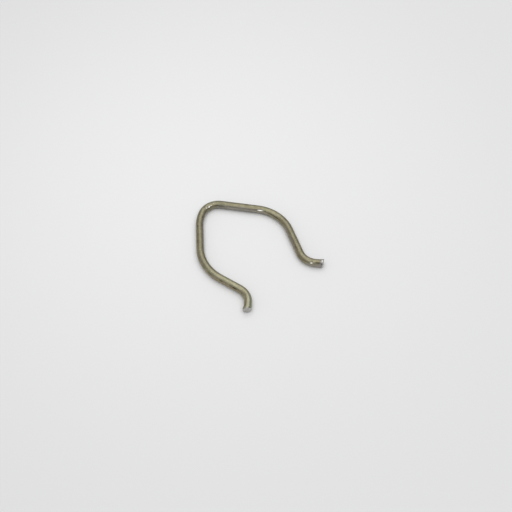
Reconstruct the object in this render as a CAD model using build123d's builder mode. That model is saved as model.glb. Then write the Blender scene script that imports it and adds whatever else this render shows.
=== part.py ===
"""Spring clip: one length of round spring wire, bent flat into an open diamond.

Millimetres, +Z up. The clip lies on Z = 0 as it would on a table. Its closed
crown points to +Y and its two free feet to -Y. The origin is the middle of its
outline, on the surface that it lies on.

From the crown, each side runs out along a straight arm, turns in round a wide
shoulder, runs back along a straight leg and flares out again at a short foot.
The sides are bent one after the other, so they differ a little, and the left arm
leaves the crown in an easier curve than the right one, which hugs the pin.
Lengths are those of the straight runs between the bends, angles are how far the
wire turns, and radii are measured to the inside of each bend.
"""

import os

from build123d import *

# Wire
WIRE_DIAMETER = 2.0

# Crown: the closed corner of the diamond, bent over a pin. The last part of the
# bend, beside the left arm, lifts off the pin and has a larger radius.
CROWN_PIN_RADIUS = 3.35
CROWN_PIN_ANGLE = 81.5
CROWN_EASE_RADIUS = 10.3
CROWN_EASE_ANGLE = 20.9

# Right side
RIGHT_ARM_LENGTH = 9.7
RIGHT_SHOULDER_RADIUS = 9.25
RIGHT_SHOULDER_ANGLE = 61.9
RIGHT_LEG_LENGTH = 8.05
RIGHT_FOOT_ANGLE = 63.5
RIGHT_FOOT_LENGTH = 2.1

# Left side
LEFT_ARM_LENGTH = 7.55
LEFT_SHOULDER_RADIUS = 10.75
LEFT_SHOULDER_ANGLE = 53.5
LEFT_LEG_LENGTH = 5.8
LEFT_FOOT_ANGLE = 59.5
LEFT_FOOT_LENGTH = 2.3

# Feet: both are flared over the same pin
FOOT_RADIUS = 3.55

# Sheared ends: the blade spreads the last of each foot to the outer side. It leaves
# a square land there, with its width measured from the spread edge, and the rest of
# the end breaks away at a slant towards the inner side.
SHEAR_SPREAD = 0.25
SHEAR_SPREAD_LENGTH = 0.9
SHEAR_LAND_WIDTH = 1.4
SHEAR_BREAK_ANGLE = 15.0
SHEAR_EDGE_RADIUS = 0.1

wire_radius = WIRE_DIAMETER / 2
half_crown_angle = (CROWN_PIN_ANGLE + CROWN_EASE_ANGLE) / 2


def bend_side(side, crown, arm, shoulder_radius, shoulder_angle, leg, foot_angle, foot):
    """Draw one side of the centreline, from the crown to where the free end spreads.

    side is 1 for the right side and -1 for the left. The shoulder turns towards
    the inside of the diamond, and the foot turns back out.
    """
    arm_run = PolarLine(start=crown @ 1, length=arm, direction=crown % 1)
    shoulder = JernArc(
        start=arm_run @ 1,
        tangent=arm_run % 1,
        radius=shoulder_radius + wire_radius,
        arc_size=-side * shoulder_angle,
    )
    leg_run = PolarLine(start=shoulder @ 1, length=leg, direction=shoulder % 1)
    flare = JernArc(
        start=leg_run @ 1,
        tangent=leg_run % 1,
        radius=FOOT_RADIUS + wire_radius,
        arc_size=side * foot_angle,
    )
    round_length = foot - SHEAR_SPREAD_LENGTH
    return PolarLine(start=flare @ 1, length=round_length, direction=flare % 1)


def free_end(foot_run):
    """Where the wire ends, past the round run of a foot."""
    return foot_run @ 1 + (foot_run % 1) * SHEAR_SPREAD_LENGTH


def spread_end(side, foot_run):
    """Make the last of the wire, which grows from round to oval as the blade spreads it."""
    direction = foot_run % 1
    outward = direction.rotate(Axis.Z, side * 90)
    with BuildPart() as end:
        with BuildSketch(Plane(origin=foot_run @ 1, x_dir=outward, z_dir=direction)):
            Circle(wire_radius)
        with BuildSketch(Plane(origin=free_end(foot_run), x_dir=outward, z_dir=direction)):
            with Locations((SHEAR_SPREAD / 2, 0)):
                Ellipse(wire_radius + SHEAR_SPREAD / 2, wire_radius)
        loft()
    return end.part


def end_offcut(side, foot_run):
    """Make the piece of wire that the shear takes off past the free end of a foot.

    In the plane of the cut, X runs out of the free end. The inner side of the
    clip is then at -Y on the right foot and at +Y on the left one.
    """
    end_plane = Plane(origin=free_end(foot_run), x_dir=foot_run % 1, z_dir=(0, 0, 1))
    outer_edge = side * WIRE_DIAMETER
    land_edge = side * (wire_radius + SHEAR_SPREAD - SHEAR_LAND_WIDTH)
    with BuildPart() as offcut:
        with BuildSketch(end_plane):
            with BuildLine():
                land = Line((0, outer_edge), (0, land_edge))
                slant = PolarLine(
                    start=land @ 1,
                    length=2 * WIRE_DIAMETER,
                    angle=-side * (90 + SHEAR_BREAK_ANGLE),
                )
                Polyline(
                    slant @ 1,
                    (WIRE_DIAMETER, (slant @ 1).Y),
                    (WIRE_DIAMETER, outer_edge),
                    land @ 0,
                )
            make_face()
        extrude(amount=WIRE_DIAMETER, both=True)
    return offcut.part


# The centreline, with the middle of the crown at the origin of the bending plane
with BuildLine(Plane.XY.offset(wire_radius)) as centreline:
    right_crown = JernArc(
        start=(0, 0),
        tangent=(1, 0),
        radius=CROWN_PIN_RADIUS + wire_radius,
        arc_size=-half_crown_angle,
    )
    left_crown = JernArc(
        start=(0, 0),
        tangent=(-1, 0),
        radius=CROWN_PIN_RADIUS + wire_radius,
        arc_size=CROWN_PIN_ANGLE - half_crown_angle,
    )
    crown_ease = JernArc(
        start=left_crown @ 1,
        tangent=left_crown % 1,
        radius=CROWN_EASE_RADIUS + wire_radius,
        arc_size=CROWN_EASE_ANGLE,
    )
    right_foot = bend_side(
        1,
        right_crown,
        RIGHT_ARM_LENGTH,
        RIGHT_SHOULDER_RADIUS,
        RIGHT_SHOULDER_ANGLE,
        RIGHT_LEG_LENGTH,
        RIGHT_FOOT_ANGLE,
        RIGHT_FOOT_LENGTH,
    )
    left_foot = bend_side(
        -1,
        crown_ease,
        LEFT_ARM_LENGTH,
        LEFT_SHOULDER_RADIUS,
        LEFT_SHOULDER_ANGLE,
        LEFT_LEG_LENGTH,
        LEFT_FOOT_ANGLE,
        LEFT_FOOT_LENGTH,
    )

spread_ends = [spread_end(1, right_foot), spread_end(-1, left_foot)]
offcuts = [end_offcut(1, right_foot), end_offcut(-1, left_foot)]

# The bent wire, sheared at both ends
with BuildPart() as bent_wire:
    with BuildSketch(centreline.line ^ 0):
        Circle(wire_radius)
    sweep(path=centreline.line)
    add(spread_ends)
    add(offcuts, mode=Mode.SUBTRACT)
    sheared_faces = bent_wire.faces().filter_by(GeomType.PLANE)
    fillet(sheared_faces.edges(), radius=SHEAR_EDGE_RADIUS)

# The clip, with the middle of its outline over the origin
outline = bent_wire.part.bounding_box()
with BuildPart() as spring_clip:
    with Locations((-outline.center().X, -outline.center().Y, 0)):
        add(bent_wire.part)

spring_clip.part.label = "spring_clip"

os.makedirs("parts", exist_ok=True)
export_step(spring_clip.part, "parts/spring_clip.step")

developed_length = centreline.wire().length + 2 * SHEAR_SPREAD_LENGTH
print("Developed length of the wire:", round(developed_length, 2), "mm")
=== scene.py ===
"""Looks of the spring clip: round spring wire, plated olive and sheared off at both ends.

The wire is one fine mesh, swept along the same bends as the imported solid. The
tools that bent and cut it have left marks in the mesh: a narrow flat where each
bend hugged its pin, nicks where the wire was gripped, worn and scuffed spots on the
bends, and two sheared ends, spread by the blade, with their lands, breaks and a
burr. The olive plating is a node material, which follows the wire through
attributes of the mesh.

Lengths in the tables are millimetres and angles are degrees. Blender works in
metres. A place on the wire is given by its distance from the left free end and
its angle round the wire: 0 is the outer side, 90 the top and 180 the inner side.
"""

import math
from collections import namedtuple

import bpy
import numpy as np
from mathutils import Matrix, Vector, noise


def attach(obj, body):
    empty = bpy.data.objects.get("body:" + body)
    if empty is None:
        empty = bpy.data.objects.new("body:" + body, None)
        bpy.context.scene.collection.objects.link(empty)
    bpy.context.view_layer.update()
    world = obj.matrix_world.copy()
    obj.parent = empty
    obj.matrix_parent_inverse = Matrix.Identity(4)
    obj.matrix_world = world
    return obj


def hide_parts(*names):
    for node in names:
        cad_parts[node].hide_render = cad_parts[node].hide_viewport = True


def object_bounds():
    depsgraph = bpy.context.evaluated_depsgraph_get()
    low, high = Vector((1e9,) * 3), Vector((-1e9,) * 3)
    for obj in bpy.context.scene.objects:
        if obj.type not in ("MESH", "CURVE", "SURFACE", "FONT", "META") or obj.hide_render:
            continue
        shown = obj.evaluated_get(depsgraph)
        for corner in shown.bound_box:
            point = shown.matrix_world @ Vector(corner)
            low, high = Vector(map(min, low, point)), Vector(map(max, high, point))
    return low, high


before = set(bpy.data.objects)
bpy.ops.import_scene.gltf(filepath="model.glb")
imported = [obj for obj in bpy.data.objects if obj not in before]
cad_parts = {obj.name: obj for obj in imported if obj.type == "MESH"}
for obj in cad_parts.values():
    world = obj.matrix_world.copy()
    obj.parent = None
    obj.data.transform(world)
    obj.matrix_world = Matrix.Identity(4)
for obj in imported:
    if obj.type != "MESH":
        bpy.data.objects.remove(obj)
cad_low, cad_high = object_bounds()

MM = 0.001

# ---------------------------------------------------------------- the wire's route

WIRE_RADIUS = 1.0


def straight(name, length):
    """A straight run of the wire: its name, length and turn."""
    return name, length, 0.0


def bend(name, inner_radius, turn):
    """A bent run. The turn is negative towards the inside of the clip."""
    turn = math.radians(turn)
    return name, (inner_radius + WIRE_RADIUS) * abs(turn), turn


LEFT_SIDE = [
    straight("left_foot", 2.3),
    bend("left_flare", 3.55, 59.5),
    straight("left_leg", 5.8),
    bend("left_shoulder", 10.75, -53.5),
    straight("left_arm", 7.55),
]
CROWN = [
    bend("crown_ease", 10.3, -20.9),
    bend("crown_pin", 3.35, -81.5),
]
RIGHT_SIDE = [
    straight("right_arm", 9.7),
    bend("right_shoulder", 9.25, -61.9),
    straight("right_leg", 8.05),
    bend("right_flare", 3.55, 63.5),
    straight("right_foot", 2.1),
]
RUNS = LEFT_SIDE + CROWN + RIGHT_SIDE

TRACE_STEP = 0.1


def total_turn(runs):
    """How far the wire turns over the runs, in radians."""
    return sum(turn for _, _, turn in runs)


def trace_centreline():
    """Follow the runs from the left free end to the right one.

    Returns the stations, as rows of distance, x, y and heading, and the span of
    distances that each named run takes up. The arms lie evenly about the Y axis.
    """
    heading = -total_turn(LEFT_SIDE) - total_turn(CROWN) / 2
    start = np.zeros(2)
    distance = 0.0
    stations = [(distance, *start, heading)]
    spans = {}
    for name, length, turn in RUNS:
        steps = math.ceil(length / TRACE_STEP)
        curvature = turn / length
        for step in range(1, steps + 1):
            along = length * step / steps
            angle = heading + curvature * along
            if curvature:
                offset = np.array([
                    math.sin(angle) - math.sin(heading),
                    math.cos(heading) - math.cos(angle),
                ]) / curvature
            else:
                offset = along * np.array([math.cos(heading), math.sin(heading)])
            stations.append((distance + along, *(start + offset), angle))
        start = start + offset
        heading += turn
        spans[name] = (distance, distance + length)
        distance += length
    return np.array(stations), spans


stations, spans = trace_centreline()
wire_length = stations[-1, 0]


def smooth_step(low, high, value):
    """0 below low, 1 above high and a smooth rise between them."""
    share = np.clip((value - low) / (high - low), 0.0, 1.0)
    return share * share * (3 - 2 * share)


def turn_between(angle, centre):
    """The turn from centre to angle round the wire, in radians from -pi to pi."""
    return (np.radians(angle - centre) + np.pi) % (2 * np.pi) - np.pi


# ---------------------------------------------------------------- marks of the bending tools

PIN_FLAT_DEPTH = 0.03
PIN_FLAT_RUN_IN = 1.2

# Least cosine of the angle from the flat's middle to which its plane is followed. The
# plane is clear of the wire long before that.
PIN_FLAT_LEAST_FACING = 0.5

# A nick, scuff or worn spot, where a tool gripped or rubbed the wire. Its length lies
# along the wire, but for the slant. Its burnish is how far the plating is gone from it
# and the steel polished, from 0 to 1.
Nick = namedtuple("Nick", "name distance angle half_length half_width slant depth burnish")

NICKS = [
    Nick("arm_grip", 52.20, 138.0, 1.35, 0.31, -3.0, 0.100, 1.0),
    Nick("flare_roller", 74.72, 135.0, 0.46, 0.31, 0.0, 0.096, 1.0),
    Nick("shoulder_rub", 56.80, 112.0, 2.50, 0.34, -1.7, 0.050, 0.36),
    Nick("crown_worn", 37.40, 109.0, 1.70, 0.42, 0.0, 0.036, 0.30),
    Nick("scuff_deep", 37.88, 124.5, 0.52, 0.33, -16.0, 0.110, 1.0),
    Nick("scuff_streak", 38.66, 125.0, 0.55, 0.20, -14.0, 0.006, 0.70),
    Nick("scuff_crest", 39.62, 106.0, 0.30, 0.15, -10.0, 0.010, 0.56),
    Nick("scuff_low", 37.10, 122.0, 0.60, 0.26, 15.0, 0.004, 0.64),
    Nick("scuff_high", 38.20, 92.0, 0.30, 0.14, -15.0, 0.010, 0.54),
    Nick("scuff_left", 37.20, 101.0, 0.36, 0.16, 20.0, 0.012, 0.58),
    Nick("scuff_tail", 36.45, 104.0, 0.40, 0.12, 10.0, 0.010, 0.50),
    Nick("crown_rub", 41.70, 186.0, 0.70, 0.12, 0.0, 0.012, 0.50),
    Nick("foot_rub", 4.80, 55.0, 0.70, 0.18, 0.0, 0.010, 0.50),
    Nick("flare_worn", 6.30, 70.0, 1.80, 0.36, -2.0, 0.036, 0.0),
    Nick("left_jaw", 0.50, 180.0, 0.90, 0.85, 0.0, 0.105, 0.0),
]


def hollow(distance, angle, nick):
    """Shape of a nick, smooth and round-bottomed: 1 at its middle, 0 at and past its edge."""
    along = distance - nick.distance
    across = turn_between(angle, nick.angle) * WIRE_RADIUS
    slant = math.radians(nick.slant)
    lengthwise = along * math.cos(slant) + across * math.sin(slant)
    crosswise = across * math.cos(slant) - along * math.sin(slant)
    reach = (lengthwise / nick.half_length) ** 2 + (crosswise / nick.half_width) ** 2
    return np.clip(1 - reach, 0, 1) ** 2


def pin_flat(distance, angle, name, turn):
    """Depth of the flat that the pin pressed into the hollow side of a bend."""
    start, end = spans[name]
    pressed = smooth_step(start, start + PIN_FLAT_RUN_IN, distance)
    pressed = pressed * (1 - smooth_step(end - PIN_FLAT_RUN_IN, end, distance))
    hollow_side = 0.0 if turn > 0 else 180.0
    facing = np.maximum(np.cos(turn_between(angle, hollow_side)), PIN_FLAT_LEAST_FACING)
    flat_distance = WIRE_RADIUS - PIN_FLAT_DEPTH * pressed
    return np.maximum(WIRE_RADIUS - flat_distance / facing, 0.0)


# ---------------------------------------------------------------- sheared ends

# The spread is a little less than the solid's, so that the grainy ends stay in its box.
# It is full as far as its hold from the end, and gone at its reach.
SHEAR_SPREAD = 0.22
SHEAR_SPREAD_HOLD = 0.35
SHEAR_SPREAD_REACH = 1.3
SHEAR_LAND_WIDTH = 1.4
SHEAR_BREAK_ANGLE = 15.0
SHEAR_STEP_DEPTH = 0.05
SHEAR_STEP_WIDTH = 0.10
SHEAR_EDGE_RADIUS = 0.1
FRACTURE_GRAIN = 0.14
FRACTURE_DEPTH = 0.05

# The shear's jaws squeeze the last of the wire, and the plating comes off there: all
# round the right end, and on the upper outer side of the left one
LEFT_BAND_LENGTH = 0.34
LEFT_BAND_ANGLE = 66.0
LEFT_BAND_HALF_ANGLE = 55.0
LEFT_BAND_FADE_ANGLE = 15.0
RIGHT_BAND_LENGTH = 0.88
BAND_DEPTH = 0.035
BAND_STEP = 0.10

BURR_ANGLE = 46.0
BURR_HALF_WIDTH = 32.0
BURR_HEIGHT = 0.11
BURR_LENGTH = 0.30

LAND_EDGE = WIRE_RADIUS + SHEAR_SPREAD - SHEAR_LAND_WIDTH


def end_spread(distance):
    """How far the blade has spread the wire to its outer side."""
    from_end = np.minimum(distance, wire_length - distance)
    return SHEAR_SPREAD * (1 - smooth_step(SHEAR_SPREAD_HOLD, SHEAR_SPREAD_REACH, from_end))


def shear_set_back(lateral, height):
    """How far a sheared face lies behind the end of the wire.

    The land is square, on the outer side. Past a small step, the break is
    grainy and slants back towards the inner side.
    """
    past_land = LAND_EDGE - lateral
    broken = smooth_step(0.0, SHEAR_STEP_WIDTH, past_land)
    grain = np.array([
        noise.noise(Vector((x, y, 0.0)) / FRACTURE_GRAIN)
        for x, y in zip(lateral.ravel(), height.ravel())
    ]).reshape(lateral.shape)
    # The noise runs from -1 to 1, and the depth of the grain from 0 to its full depth
    grain_depth = FRACTURE_DEPTH * (0.5 + 0.5 * grain)
    slant = np.maximum(past_land, 0.0) * math.tan(math.radians(SHEAR_BREAK_ANGLE))
    return slant + broken * (SHEAR_STEP_DEPTH + grain_depth)


def end_bands(distance, angle):
    """Share of the squeezed band at each end: 1 in the band, 0 past its edge."""
    left = 1 - smooth_step(LEFT_BAND_LENGTH - BAND_STEP, LEFT_BAND_LENGTH, distance)
    beside = np.degrees(np.abs(turn_between(angle, LEFT_BAND_ANGLE)))
    fade_start = LEFT_BAND_HALF_ANGLE - LEFT_BAND_FADE_ANGLE
    left = left * (1 - smooth_step(fade_start, LEFT_BAND_HALF_ANGLE, beside))
    from_right = wire_length - distance
    right = 1 - smooth_step(RIGHT_BAND_LENGTH - BAND_STEP, RIGHT_BAND_LENGTH, from_right)
    return left, right


def burr(distance, angle):
    """Height of the thin lip that the blade drew out on the right end."""
    from_right = wire_length - distance
    along = 1 - smooth_step(0.0, BURR_LENGTH, from_right)
    across = turn_between(angle, BURR_ANGLE) / math.radians(BURR_HALF_WIDTH)
    return BURR_HEIGHT * along * np.clip(1 - across ** 2, 0, 1)


# ---------------------------------------------------------------- the wire's mesh

# Points in each ring, and rings on each cut face and on its rounded rim
AROUND = 112
CAP_RINGS = 18
RIM_RINGS = 6

# Spacing of the other rings, the fine spacing's margin round a nick, and the gap that
# is left beside a rim
PLAIN_STEP = 0.15
FINE_STEP = 0.05
FINE_MARGIN = 0.15
RIM_MARGIN = 0.03

# Length over which the slant of a cut face fades into the wire
END_BLEND = 1.2

# The whole surface lies this far inside the solid's
SKIN_INSET = 0.0005


def needs_fine_rings(distance):
    """Whether a nick or a sheared end needs the rings close together here."""
    if min(distance, wire_length - distance) < END_BLEND:
        return True
    return any(
        abs(distance - nick.distance) < nick.half_length + FINE_MARGIN for nick in NICKS
    )


def ring_distances(start, end):
    """Places of the rings between the rims, close together where there is fine detail."""
    places = [start]
    while places[-1] < end:
        step = FINE_STEP if needs_fine_rings(places[-1]) else PLAIN_STEP
        places.append(places[-1] + step)
    share = (np.array(places) - start) / (places[-1] - start)
    return start + share * (end - start)


def ring_plan():
    """Nominal distance and radius of each ring, from the left cap to the right one."""
    rim = SHEAR_EDGE_RADIUS
    cap = [(0.0, share * (WIRE_RADIUS - rim)) for share in np.linspace(0, 1, CAP_RINGS + 1)[1:]]
    for corner in np.linspace(90, 0, RIM_RINGS + 1)[1:]:
        corner = math.radians(corner)
        cap.append((rim * (1 - math.sin(corner)), WIRE_RADIUS - rim * (1 - math.cos(corner))))
    other_cap = [(wire_length - along, radius) for along, radius in reversed(cap)]
    inner = ring_distances(rim + RIM_MARGIN, wire_length - rim - RIM_MARGIN)
    return np.array(cap + [(along, WIRE_RADIUS) for along in inner] + other_cap)


def tube_points(distance, lateral, height):
    """Points beside the centreline: lateral to the outer side, height over the axis."""
    x = np.interp(distance, stations[:, 0], stations[:, 1])
    y = np.interp(distance, stations[:, 0], stations[:, 2])
    heading = np.interp(distance, stations[:, 0], stations[:, 3])
    x = x - np.sin(heading) * lateral
    y = y + np.cos(heading) * lateral
    return np.stack([x, y, WIRE_RADIUS + height], axis=-1)


def shape_wire():
    """Surface points as rings, and how far each lies beside, over, along and round the wire."""
    plan = ring_plan()
    nominal = plan[:, :1]
    radius = plan[:, 1:]
    angle = np.linspace(0, 360, AROUND, endpoint=False)[None, :]
    depth = SKIN_INSET + np.zeros((len(plan), AROUND))
    for name, _, turn in RUNS:
        if turn:
            depth = depth + pin_flat(nominal, angle, name, turn)
    for nick in NICKS:
        depth = depth + nick.depth * hollow(nominal, angle, nick)
    left_band, right_band = end_bands(nominal, angle)
    depth = depth + BAND_DEPTH * (left_band + right_band)
    depth = depth - burr(nominal, angle)

    radius = radius * (1 - depth / WIRE_RADIUS)
    spread = end_spread(nominal)
    lateral = radius * np.cos(np.radians(angle)) * (1 + spread / 2) + spread / 2
    height = radius * np.sin(np.radians(angle))
    near_left = 1 - smooth_step(SHEAR_EDGE_RADIUS, END_BLEND, nominal)
    near_right = 1 - smooth_step(SHEAR_EDGE_RADIUS, END_BLEND, wire_length - nominal)
    set_back = shear_set_back(lateral, height)
    distance = nominal + set_back * near_left - set_back * near_right
    return tube_points(distance, lateral, height), lateral, height, distance, angle


def add_mesh_piece(name, rings):
    """A closed tube of rings, each end closed by a fan round a middle point."""
    count, around = rings.shape[:2]
    middles = [rings[0].mean(axis=0), rings[-1].mean(axis=0)]
    verts = np.vstack([rings.reshape(-1, 3), middles]) * MM
    left_middle = count * around
    right_middle = left_middle + 1
    last = (count - 1) * around
    faces = []
    for side in range(around):
        following = (side + 1) % around
        faces.append((left_middle, following, side))
        faces.append((right_middle, last + side, last + following))
        for ring in range(0, last, around):
            faces.append((
                ring + side,
                ring + following,
                ring + around + following,
                ring + around + side,
            ))
    mesh = bpy.data.meshes.new(name)
    mesh.from_pydata(verts.tolist(), [], faces)
    mesh.polygons.foreach_set("use_smooth", [True] * len(mesh.polygons))
    mesh.update()
    piece = bpy.data.objects.new(name, mesh)
    bpy.context.scene.collection.objects.link(piece)
    return piece


# The trace starts at the origin, so the wire is then moved to where the solid lies
rings, lateral, height, distance, angle = shape_wire()
outline_middle = (rings.reshape(-1, 3).min(axis=0) + rings.reshape(-1, 3).max(axis=0)) / 2
cad_middle = np.array((cad_low + cad_high) / 2) / MM
rings = rings + np.array([*(cad_middle - outline_middle)[:2], 0.0])
wire = add_mesh_piece("clip_wire", rings)

# ---------------------------------------------------------------- how the plating lies on the wire

# Tone of the plating along the wire, as pairs of distance and brightness
TONE_ALONG = [
    (0.0, 1.22), (4.0, 1.18), (8.0, 1.23), (13.0, 1.19), (19.0, 1.01), (25.0, 0.98),
    (29.0, 0.99), (33.0, 0.98), (38.0, 1.08), (41.0, 0.85), (44.0, 0.94), (48.0, 0.87),
    (54.5, 1.09), (57.0, 1.17), (60.0, 0.97), (66.5, 0.98), (70.0, 0.99), (73.0, 1.05),
    (77.6, 1.08),
]

# Patches laid over the plating's colour: distance, angle, half length, half width in degrees,
# strength
# Painted reflection: a lighter grey on the lower inner flanks, which paints in the pale floor's
# reflection there
PAINTED_FLOOR_REFLECTION_PATCHES = [
    (47.0, 180.0, 7.5, 50.0, 0.85),
    (76.7, 190.0, 3.0, 50.0, 0.85),
    (29.0, 160.0, 6.5, 34.0, 0.90),
    (65.5, 155.0, 4.5, 34.0, 0.45),
]
GREEN_PATCHES = [
    (1.4, 125.0, 3.2, 48.0, 0.75),
    (39.0, 60.0, 6.0, 30.0, 0.25),
    (10.5, 75.0, 8.0, 60.0, 0.18),
]
BROWN_PATCHES = [
    (63.5, 150.0, 9.0, 40.0, 0.35),
    (11.0, 8.0, 7.0, 34.0, 0.80),
    (24.0, 40.0, 6.0, 28.0, 0.35),
    (1.6, 52.0, 1.2, 22.0, 0.6),
    (3.8, 64.0, 1.9, 14.0, 0.8),
    (71.5, 160.0, 3.5, 30.0, 0.4),
]
# Darker patches. Some are real stains and dark spots in the plating. The others are painted shade,
# which narrows a highlight, darkens the dark line beside it, or paints a dark reflection below the
# jaw's print on the right end
STAIN_AND_PAINTED_SHADE_PATCHES = [
    (65.00, 113.0, 8.00, 9.0, 0.15),
    (76.25, 124.0, 1.00, 13.0, 0.72),
    (77.20, 139.0, 0.25, 10.0, 0.60),
    (74.80, 112.0, 0.15, 8.0, 0.55),
    (53.60, 136.0, 0.17, 8.0, 0.50),
    (40.30, 146.0, 0.90, 13.0, 0.45),
    (42.00, 161.0, 1.10, 12.0, 0.35),
    (36.90, 88.0, 0.35, 10.0, 0.45),
    (37.70, 158.0, 0.35, 10.0, 0.50),
    (30.50, 58.0, 0.45, 14.0, 0.45),
    (27.50, 107.0, 5.00, 8.0, 0.14),
    (25.60, 40.0, 0.45, 16.0, 0.30),
    (15.40, 30.0, 0.75, 12.0, 0.40),
    (12.00, 31.0, 0.60, 12.0, 0.55),
    (9.20, 33.0, 0.40, 9.0, 0.35),
    (8.00, 29.0, 0.80, 12.0, 0.72),
    (6.30, 32.0, 0.90, 9.0, 0.30),
    (5.35, 30.0, 0.30, 10.0, 0.50),
    (4.40, 76.0, 0.90, 8.0, 0.25),
    (1.00, 54.0, 0.25, 11.0, 0.45),
    (0.35, 116.0, 0.35, 15.0, 0.35),
    (56.60, 149.0, 2.60, 11.0, 0.50),
    (57.00, 77.0, 1.80, 15.0, 0.22),
    (68.90, 128.0, 0.28, 10.0, 0.50),
    (71.60, 158.0, 0.60, 10.0, 0.35),
]

# Bright spot where a jaw of the shear pressed the right end: distance, angle, half
# length, half width in degrees
JAW_PRINT = (77.25, 87.0, 0.20, 13.0)


def patches(distance, angle, table):
    """Soft-edged patches laid over each other: 0 outside them, up to 1 inside."""
    clear = np.ones(distance.shape)
    for centre, middle_angle, half_length, half_width, strength in table:
        along = (distance - centre) / half_length
        across = turn_between(angle, middle_angle) / math.radians(half_width)
        clear = clear * (1 - strength * np.exp(-(along ** 2 + across ** 2) ** 2))
    return 1 - clear


def burnished_metal(distance, angle):
    """Where a tool has rubbed the bare metal bright: the nicks and the jaw's print.

    The root makes the burnish fuller than the hollow, right up to the same edge.
    """
    bright = patches(distance, angle, [(*JAW_PRINT, 1.0)])
    for nick in NICKS:
        rubbed = np.sqrt(hollow(distance, angle, nick))
        bright = np.maximum(bright, nick.burnish * rubbed)
    return bright


def bare_metal(distance, angle, cut_share, bright):
    """Where the plating is gone: the cut faces, the squeezed bands and what is burnished."""
    left_band, right_band = end_bands(distance, angle)
    return np.maximum.reduce([cut_share, left_band, right_band, bright])


def add_attribute(piece, name, kind, values, at_middles):
    """Store one value or vector for each point of the rings and the two middle points."""
    flat = np.concatenate([np.asarray(values, float).ravel(), np.ravel(at_middles)])
    attribute = piece.data.attributes.new(name, kind, "POINT")
    field = "vector" if kind == "FLOAT_VECTOR" else "value"
    attribute.data.foreach_set(field, flat.astype(np.float32))


full_angle = np.broadcast_to(angle, distance.shape)

# The cut faces reach to the middle of their rounded rims
cut_share = np.zeros(distance.shape)
cut_share[:CAP_RINGS + RIM_RINGS // 2] = 1.0
cut_share[-CAP_RINGS - RIM_RINGS // 2:] = 1.0
break_share = cut_share * smooth_step(0.0, SHEAR_STEP_WIDTH, LAND_EDGE - lateral)

bright = burnished_metal(distance, full_angle)
bare = bare_metal(distance, full_angle, cut_share, bright)
tone = np.interp(distance, *zip(*TONE_ALONG))
place = np.stack([lateral, height, distance], axis=-1)

add_attribute(wire, "wire_place", "FLOAT_VECTOR", place, [(0, 0, 0), (0, 0, wire_length)])
add_attribute(wire, "tone", "FLOAT", tone, [1, 1])
for name, table in (
    ("painted_floor_reflection", PAINTED_FLOOR_REFLECTION_PATCHES),
    ("green", GREEN_PATCHES),
    ("brown", BROWN_PATCHES),
    ("stain_and_painted_shade", STAIN_AND_PAINTED_SHADE_PATCHES),
):
    add_attribute(wire, name, "FLOAT", patches(distance, full_angle, table), [0, 0])
add_attribute(wire, "bare", "FLOAT", bare, [1, 1])
add_attribute(wire, "bright", "FLOAT", bright, [0, 0])
add_attribute(wire, "cut", "FLOAT", cut_share, [1, 1])
add_attribute(wire, "break", "FLOAT", break_share, [0, 0])

# ---------------------------------------------------------------- materials

OLIVE = (0.255, 0.236, 0.157, 1)
KHAKI = (0.296, 0.279, 0.186, 1)
OLIVE_SHADE = (0.207, 0.185, 0.115, 1)
GREEN_OLIVE = (0.230, 0.237, 0.148, 1)
ROSE_OLIVE = (0.287, 0.239, 0.179, 1)
PALE_GREEN = (0.295, 0.305, 0.225, 1)
BROWN = (0.239, 0.194, 0.124, 1)
# Painted reflection of the pale floor, laid on the lower inner flanks
PAINTED_FLOOR_REFLECTION_GREY = (0.392, 0.368, 0.340, 1)
DULL_STEEL = (0.310, 0.300, 0.285, 1)
LAND_STEEL = (0.500, 0.484, 0.448, 1)
BREAK_STEEL = (0.560, 0.555, 0.540, 1)
BRIGHT_STEEL = (0.760, 0.730, 0.660, 1)
SCRATCH = (0.388, 0.370, 0.285, 1)

# Noise patterns, in features per millimetre. The stretched ones have one number each
# for across, up and along the wire.
TINT_SCALE = 0.45
CLOUD_SCALE = 0.9
SPECK_SCALE = 2.6
PIT_SCALE = 4.2
GRAIN_SCALE = 7.0
DRAWN_LINE_STRETCH = (7.0, 7.0, 0.22)
HAIR_STRETCH = (16.0, 16.0, 0.55)
STRIA_STRETCH = (1.5, 15.0, 1.5)

# Values of a noise between which its effect sets in. Most of a noise lies in NOISE_RANGE.
# The green sets in downwards, where the noise is low.
NOISE_RANGE = (0.30, 0.70)
CLOUD_EDGES = (0.35, 0.65)
GREEN_EDGES = (0.40, 0.25)
ROSE_EDGES = (0.60, 0.75)
PATCH_EDGES = (0.30, 0.60)
HAIR_EDGES = (0.66, 0.72)
PIT_EDGES = (0.66, 0.74)
RAGGED_EDGES = (0.25, 0.75)

# Shares of the colours that are mixed in. A brown patch, or a grey patch of painted floor
# reflection, keeps at least the given share of its strength where its noise is low.
OLIVE_SHARE = 0.35
TINT_SHARE = 0.7
HAIR_SHARE = 0.55
LEAST_BROWN = 0.45
LEAST_PAINTED_REFLECTION = 0.55

# Darkest and lightest tone that each pattern gives the plating or the bare steel
LINE_TONES = (0.87, 1.12)
SPECK_TONES = (0.91, 1.09)
GRAIN_TONES = (0.92, 1.07)
PIT_TONES = (1.0, 0.6)
DULL_STEEL_TONES = (0.90, 1.10)
CUT_STEEL_TONES = (0.80, 1.12)

# Ragged edges of the bare and the burnished metal: how far the grain moves them, and the
# strengths between which each sets in
RAGGED_SHIFT = (-0.2, 0.2)
BARE_EDGES = (0.35, 0.65)
BRIGHT_EDGES = (0.45, 0.75)

PLATING_ROUGHNESS = 0.40
ROUGHNESS_SPREAD = 0.05
DULL_ROUGHNESS = 0.38
BRIGHT_ROUGHNESS = 0.20

# Depth in metres and strength of the fine relief
LINE_BUMP = (0.00002, 0.40)
GRAIN_BUMP = (0.00001, 0.30)


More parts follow.
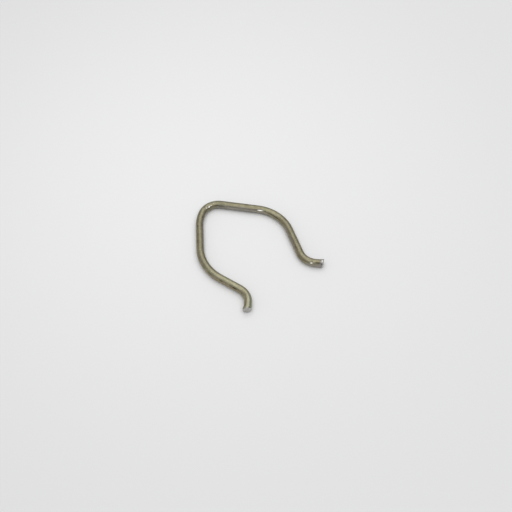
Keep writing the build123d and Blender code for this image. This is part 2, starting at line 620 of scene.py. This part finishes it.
class NodeTree:
    """Short ways to add shader nodes to one material and link them."""

    def __init__(self, name):
        self.material = bpy.data.materials.new(name)
        self.material.use_nodes = True
        self.nodes = self.material.node_tree.nodes
        self.links = self.material.node_tree.links
        self.shader = self.nodes["Principled BSDF"]

    def put(self, value, socket):
        """Link an output to the socket, or set the socket to a plain value."""
        if isinstance(value, bpy.types.NodeSocket):
            self.links.new(value, socket)
        else:
            socket.default_value = value

    def attribute(self, name, output):
        """What the mesh stores under a name."""
        node = self.nodes.new("ShaderNodeAttribute")
        node.attribute_name = name
        return node.outputs[output]

    def stretch(self, vector, scales):
        """Multiply a vector by one number for each axis."""
        node = self.nodes.new("ShaderNodeVectorMath")
        node.operation = "MULTIPLY"
        self.put(vector, node.inputs[0])
        self.put(scales, node.inputs[1])
        return node.outputs[0]

    def noise(self, vector, scale, detail, roughness=0.5):
        """A cloudy noise from 0 to 1."""
        node = self.nodes.new("ShaderNodeTexNoise")
        self.put(vector, node.inputs["Vector"])
        self.put(scale, node.inputs["Scale"])
        self.put(detail, node.inputs["Detail"])
        self.put(roughness, node.inputs["Roughness"])
        return node.outputs[0]

    def math(self, operation, first, second):
        """Work out one number from two."""
        node = self.nodes.new("ShaderNodeMath")
        node.operation = operation
        self.put(first, node.inputs[0])
        self.put(second, node.inputs[1])
        return node.outputs[0]

    def remap(self, value, from_low, from_high, to_low=0.0, to_high=1.0):
        """Take a number smoothly from one range to another, and hold it past the ends."""
        node = self.nodes.new("ShaderNodeMapRange")
        node.interpolation_type = "SMOOTHSTEP"
        settings = (value, from_low, from_high, to_low, to_high)
        for socket, setting in zip(node.inputs, settings):
            self.put(setting, socket)
        return node.outputs[0]

    def mix(self, share, first, second, blend_type="MIX"):
        """Mix two colours. Their sockets come after those for numbers and vectors."""
        node = self.nodes.new("ShaderNodeMix")
        node.data_type = "RGBA"
        node.blend_type = blend_type
        self.put(share, node.inputs[0])
        self.put(first, node.inputs[6])
        self.put(second, node.inputs[7])
        return node.outputs[2]

    def blend(self, share, first, second):
        """Mix two plain numbers."""
        node = self.nodes.new("ShaderNodeMix")
        self.put(share, node.inputs[0])
        self.put(first, node.inputs[2])
        self.put(second, node.inputs[3])
        return node.outputs[0]

    def bump(self, height, depth, strength, normal=None):
        """Relief of the surface, on top of any relief that it already has."""
        node = self.nodes.new("ShaderNodeBump")
        self.put(height, node.inputs["Height"])
        self.put(depth, node.inputs["Distance"])
        self.put(strength, node.inputs["Strength"])
        if normal is not None:
            self.put(normal, node.inputs["Normal"])
        return node.outputs[0]


def mottled_plating(tree, place, clouds, specks, lines):
    """Colour of the plating: olive, mottled green, rose and brown, and a painted floor reflection
    in grey on the lower flanks.
    """
    tint = tree.noise(place, TINT_SCALE, detail=2.0)
    colour = tree.mix(tree.remap(clouds, *CLOUD_EDGES), OLIVE_SHADE, KHAKI)
    colour = tree.mix(OLIVE_SHARE, colour, OLIVE)
    colour = tree.mix(tree.remap(tint, *GREEN_EDGES, 0.0, TINT_SHARE), colour, GREEN_OLIVE)
    colour = tree.mix(tree.remap(tint, *ROSE_EDGES, 0.0, TINT_SHARE), colour, ROSE_OLIVE)
    colour = tree.mix(tree.attribute("green", "Fac"), colour, PALE_GREEN)
    brown = tree.attribute("brown", "Fac")
    brown = tree.math("MULTIPLY", brown, tree.remap(specks, *PATCH_EDGES, LEAST_BROWN, 1.0))
    colour = tree.mix(brown, colour, BROWN)
    # Painted reflection: a lighter grey where the lower flanks face the floor
    painted_floor_reflection = tree.attribute("painted_floor_reflection", "Fac")
    painted_floor_reflection = tree.math("MULTIPLY", painted_floor_reflection, tree.remap(lines, *PATCH_EDGES, LEAST_PAINTED_REFLECTION, 1.0))
    return tree.mix(painted_floor_reflection, colour, PAINTED_FLOOR_REFLECTION_GREY)


def olive_plating():
    """Olive passivated plating on drawn wire, with bare steel where it is rubbed off."""
    tree = NodeTree("olive_plating")
    place = tree.attribute("wire_place", "Vector")
    clouds = tree.noise(place, CLOUD_SCALE, detail=3.0, roughness=0.6)
    grain = tree.noise(place, GRAIN_SCALE, detail=2.0, roughness=0.6)
    lines = tree.noise(tree.stretch(place, DRAWN_LINE_STRETCH), 1.0, detail=3.0, roughness=0.7)
    specks = tree.noise(place, SPECK_SCALE, detail=1.0)
    pits = tree.noise(place, PIT_SCALE, detail=1.0)
    hairs = tree.noise(tree.stretch(place, HAIR_STRETCH), 1.0, detail=1.0)
    striae = tree.noise(tree.stretch(place, STRIA_STRETCH), 1.0, detail=2.0)

    colour = mottled_plating(tree, place, clouds, specks, lines)
    scratched = tree.remap(hairs, *HAIR_EDGES, 0.0, HAIR_SHARE)
    colour = tree.mix(scratched, colour, SCRATCH)
    tone = tree.attribute("tone", "Fac")
    for pattern, edges, tones in (
        (lines, NOISE_RANGE, LINE_TONES),
        (specks, NOISE_RANGE, SPECK_TONES),
        (grain, NOISE_RANGE, GRAIN_TONES),
        (pits, PIT_EDGES, PIT_TONES),
    ):
        tone = tree.math("MULTIPLY", tone, tree.remap(pattern, *edges, *tones))
    colour = tree.mix(1.0, colour, tone, "MULTIPLY")

    ragged = tree.remap(grain, *RAGGED_EDGES, *RAGGED_SHIFT)
    bare = tree.math("ADD", tree.attribute("bare", "Fac"), ragged)
    bare = tree.remap(bare, *BARE_EDGES)
    bright = tree.math("ADD", tree.attribute("bright", "Fac"), ragged)
    bright = tree.remap(bright, *BRIGHT_EDGES)
    cut = tree.attribute("cut", "Fac")
    dull_tone = tree.remap(lines, *NOISE_RANGE, *DULL_STEEL_TONES)
    cut_tone = tree.remap(striae, *NOISE_RANGE, *CUT_STEEL_TONES)
    steel_tone = tree.mix(cut, dull_tone, cut_tone)
    steel = tree.mix(cut, DULL_STEEL, LAND_STEEL)
    steel = tree.mix(tree.attribute("break", "Fac"), steel, BREAK_STEEL)
    steel = tree.mix(1.0, steel, steel_tone, "MULTIPLY")
    colour = tree.mix(bare, colour, steel)
    colour = tree.mix(bright, colour, BRIGHT_STEEL)
    # Darken the colour by the stains and the painted shade
    unstained_unshaded = tree.math("SUBTRACT", 1.0, tree.attribute("stain_and_painted_shade", "Fac"))
    colour = tree.mix(1.0, colour, unstained_unshaded, "MULTIPLY")

    smoothest = PLATING_ROUGHNESS - ROUGHNESS_SPREAD
    roughest = PLATING_ROUGHNESS + ROUGHNESS_SPREAD
    roughness = tree.remap(clouds, *NOISE_RANGE, smoothest, roughest)
    roughness = tree.blend(bare, roughness, DULL_ROUGHNESS)
    roughness = tree.blend(bright, roughness, BRIGHT_ROUGHNESS)

    normal = tree.bump(lines, *LINE_BUMP)
    normal = tree.bump(grain, *GRAIN_BUMP, normal)

    tree.put(colour, tree.shader.inputs["Base Color"])
    tree.put(roughness, tree.shader.inputs["Roughness"])
    tree.put(normal, tree.shader.inputs["Normal"])
    tree.shader.inputs["Metallic"].default_value = 1.0
    return tree.material


wire.data.materials.append(olive_plating())

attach(wire, "root")
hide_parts("spring_clip")

# ---------------------------------------------------------------- studio

# Lengths here are metres
CAMERA_AZIMUTH = math.radians(-41.94)
CAMERA_ELEVATION = math.radians(53.0)
CAMERA_DISTANCE = 0.22727
CAMERA_AIM = Vector((0.00023, -0.00335, 0.0))
CAMERA_LENS = 63.28
CAMERA_CLIP_START = 0.01
CAMERA_CLIP_END = 20.0

FLOOR_SIDE = 3.0
FLOOR_COLOUR = (0.830, 0.830, 0.835, 1)
# Painted fall-off of light: the paper's colour greys away from its brightest spot
FLOOR_PAINTED_FALLOFF_COLOUR = (0.745, 0.745, 0.750, 1)
FLOOR_PAINTED_LIGHT_CENTRE = (0.003, 0.031, 0.0)
FLOOR_FALL_OFF = 0.12
FLOOR_ROUGHNESS = 0.9
FLOOR_TOOTH_SCALE = 900.0
FLOOR_TOOTH_BUMP = (0.00002, 0.2)

SOFTBOX_WIDTH = 0.50
SOFTBOX_DEPTH = 0.80
SOFTBOX_HEIGHT = 0.35
SOFTBOX_RADIANCE = 1.115
SOFTBOX_ASIDE = 0.04
SOFTBOX_BEYOND = 0.06

HORIZON_LIGHT = 0.41
SKY_LIGHT = 0.49
SKY_RISE = 0.30
SIDE_LIGHT = 0.12


def floor_paper():
    """Matt white paper with a very faint tooth, and a painted fall-off of light: a little greyer
    away from one spot.
    """
    tree = NodeTree("floor_paper")
    coordinates = tree.nodes.new("ShaderNodeTexCoord").outputs["Object"]
    tooth = tree.noise(coordinates, FLOOR_TOOTH_SCALE, detail=3.0)
    tree.put(tree.bump(tooth, *FLOOR_TOOTH_BUMP), tree.shader.inputs["Normal"])
    away = tree.nodes.new("ShaderNodeVectorMath")
    away.operation = "DISTANCE"
    tree.put(coordinates, away.inputs[0])
    tree.put(FLOOR_PAINTED_LIGHT_CENTRE, away.inputs[1])
    shade = tree.remap(away.outputs["Value"], 0.0, FLOOR_FALL_OFF)
    tree.put(tree.mix(shade, FLOOR_COLOUR, FLOOR_PAINTED_FALLOFF_COLOUR), tree.shader.inputs["Base Color"])
    tree.shader.inputs["Roughness"].default_value = FLOOR_ROUGHNESS
    return tree.material


def add_floor():
    """A wide floor under the clip, which isn't part of it."""
    bpy.ops.mesh.primitive_plane_add(size=FLOOR_SIDE, location=(0, 0, 0))
    floor = bpy.context.object
    floor.name = "floor"
    floor.data.materials.append(floor_paper())


def light_world():
    """A dim room: darkest at the horizon, and lighter above it and to the camera's left."""
    world = bpy.data.worlds.new("studio")
    bpy.context.scene.world = world
    world.use_nodes = True
    nodes = world.node_tree.nodes
    links = world.node_tree.links
    direction = nodes.new("ShaderNodeTexCoord").outputs["Generated"]
    split = nodes.new("ShaderNodeSeparateXYZ")
    rise = nodes.new("ShaderNodeMapRange")
    rise.interpolation_type = "SMOOTHSTEP"
    rise.inputs["From Max"].default_value = SKY_RISE
    rise.inputs["To Min"].default_value = HORIZON_LIGHT
    rise.inputs["To Max"].default_value = SKY_LIGHT
    leftward = nodes.new("ShaderNodeVectorMath")
    leftward.operation = "DOT_PRODUCT"
    leftward.inputs[1].default_value = (-math.cos(CAMERA_AZIMUTH), -math.sin(CAMERA_AZIMUTH), 0)
    light = nodes.new("ShaderNodeMath")
    light.operation = "MULTIPLY_ADD"
    light.inputs[1].default_value = SIDE_LIGHT
    links.new(direction, split.inputs[0])
    links.new(split.outputs["Z"], rise.inputs["Value"])
    links.new(direction, leftward.inputs[0])
    links.new(leftward.outputs["Value"], light.inputs[0])
    links.new(rise.outputs[0], light.inputs[2])
    links.new(light.outputs[0], nodes["Background"].inputs["Color"])


def add_softbox():
    """A softbox overhead, squared up to the camera, a little beyond the clip and to the right.

    The energy of such a lamp is its radiance times pi times its area.
    """
    lamp = bpy.data.lights.new("softbox", "AREA")
    lamp.shape = "RECTANGLE"
    lamp.size = SOFTBOX_WIDTH
    lamp.size_y = SOFTBOX_DEPTH
    lamp.energy = SOFTBOX_RADIANCE * math.pi * SOFTBOX_WIDTH * SOFTBOX_DEPTH
    softbox = bpy.data.objects.new("softbox", lamp)
    softbox.rotation_euler.z = CAMERA_AZIMUTH
    to_right = Vector((math.cos(CAMERA_AZIMUTH), math.sin(CAMERA_AZIMUTH), 0.0))
    beyond = Vector((-math.sin(CAMERA_AZIMUTH), math.cos(CAMERA_AZIMUTH), 0.0))
    softbox.location = to_right * SOFTBOX_ASIDE + beyond * SOFTBOX_BEYOND
    softbox.location.z = SOFTBOX_HEIGHT
    bpy.context.scene.collection.objects.link(softbox)


def add_camera():
    """The camera, which looks at its aim from the given azimuth, elevation and distance."""
    back = Vector((
        math.sin(CAMERA_AZIMUTH) * math.cos(CAMERA_ELEVATION),
        -math.cos(CAMERA_AZIMUTH) * math.cos(CAMERA_ELEVATION),
        math.sin(CAMERA_ELEVATION),
    ))
    lens = bpy.data.cameras.new("camera")
    lens.lens = CAMERA_LENS
    lens.clip_start = CAMERA_CLIP_START
    lens.clip_end = CAMERA_CLIP_END
    camera = bpy.data.objects.new("camera", lens)
    camera.location = CAMERA_AIM + back * CAMERA_DISTANCE
    camera.rotation_mode = "QUATERNION"
    camera.rotation_quaternion = (-back).to_track_quat("-Z", "Y")
    bpy.context.scene.collection.objects.link(camera)
    bpy.context.scene.camera = camera


add_floor()
light_world()
add_softbox()
add_camera()
bpy.context.scene.view_settings.view_transform = "Standard"
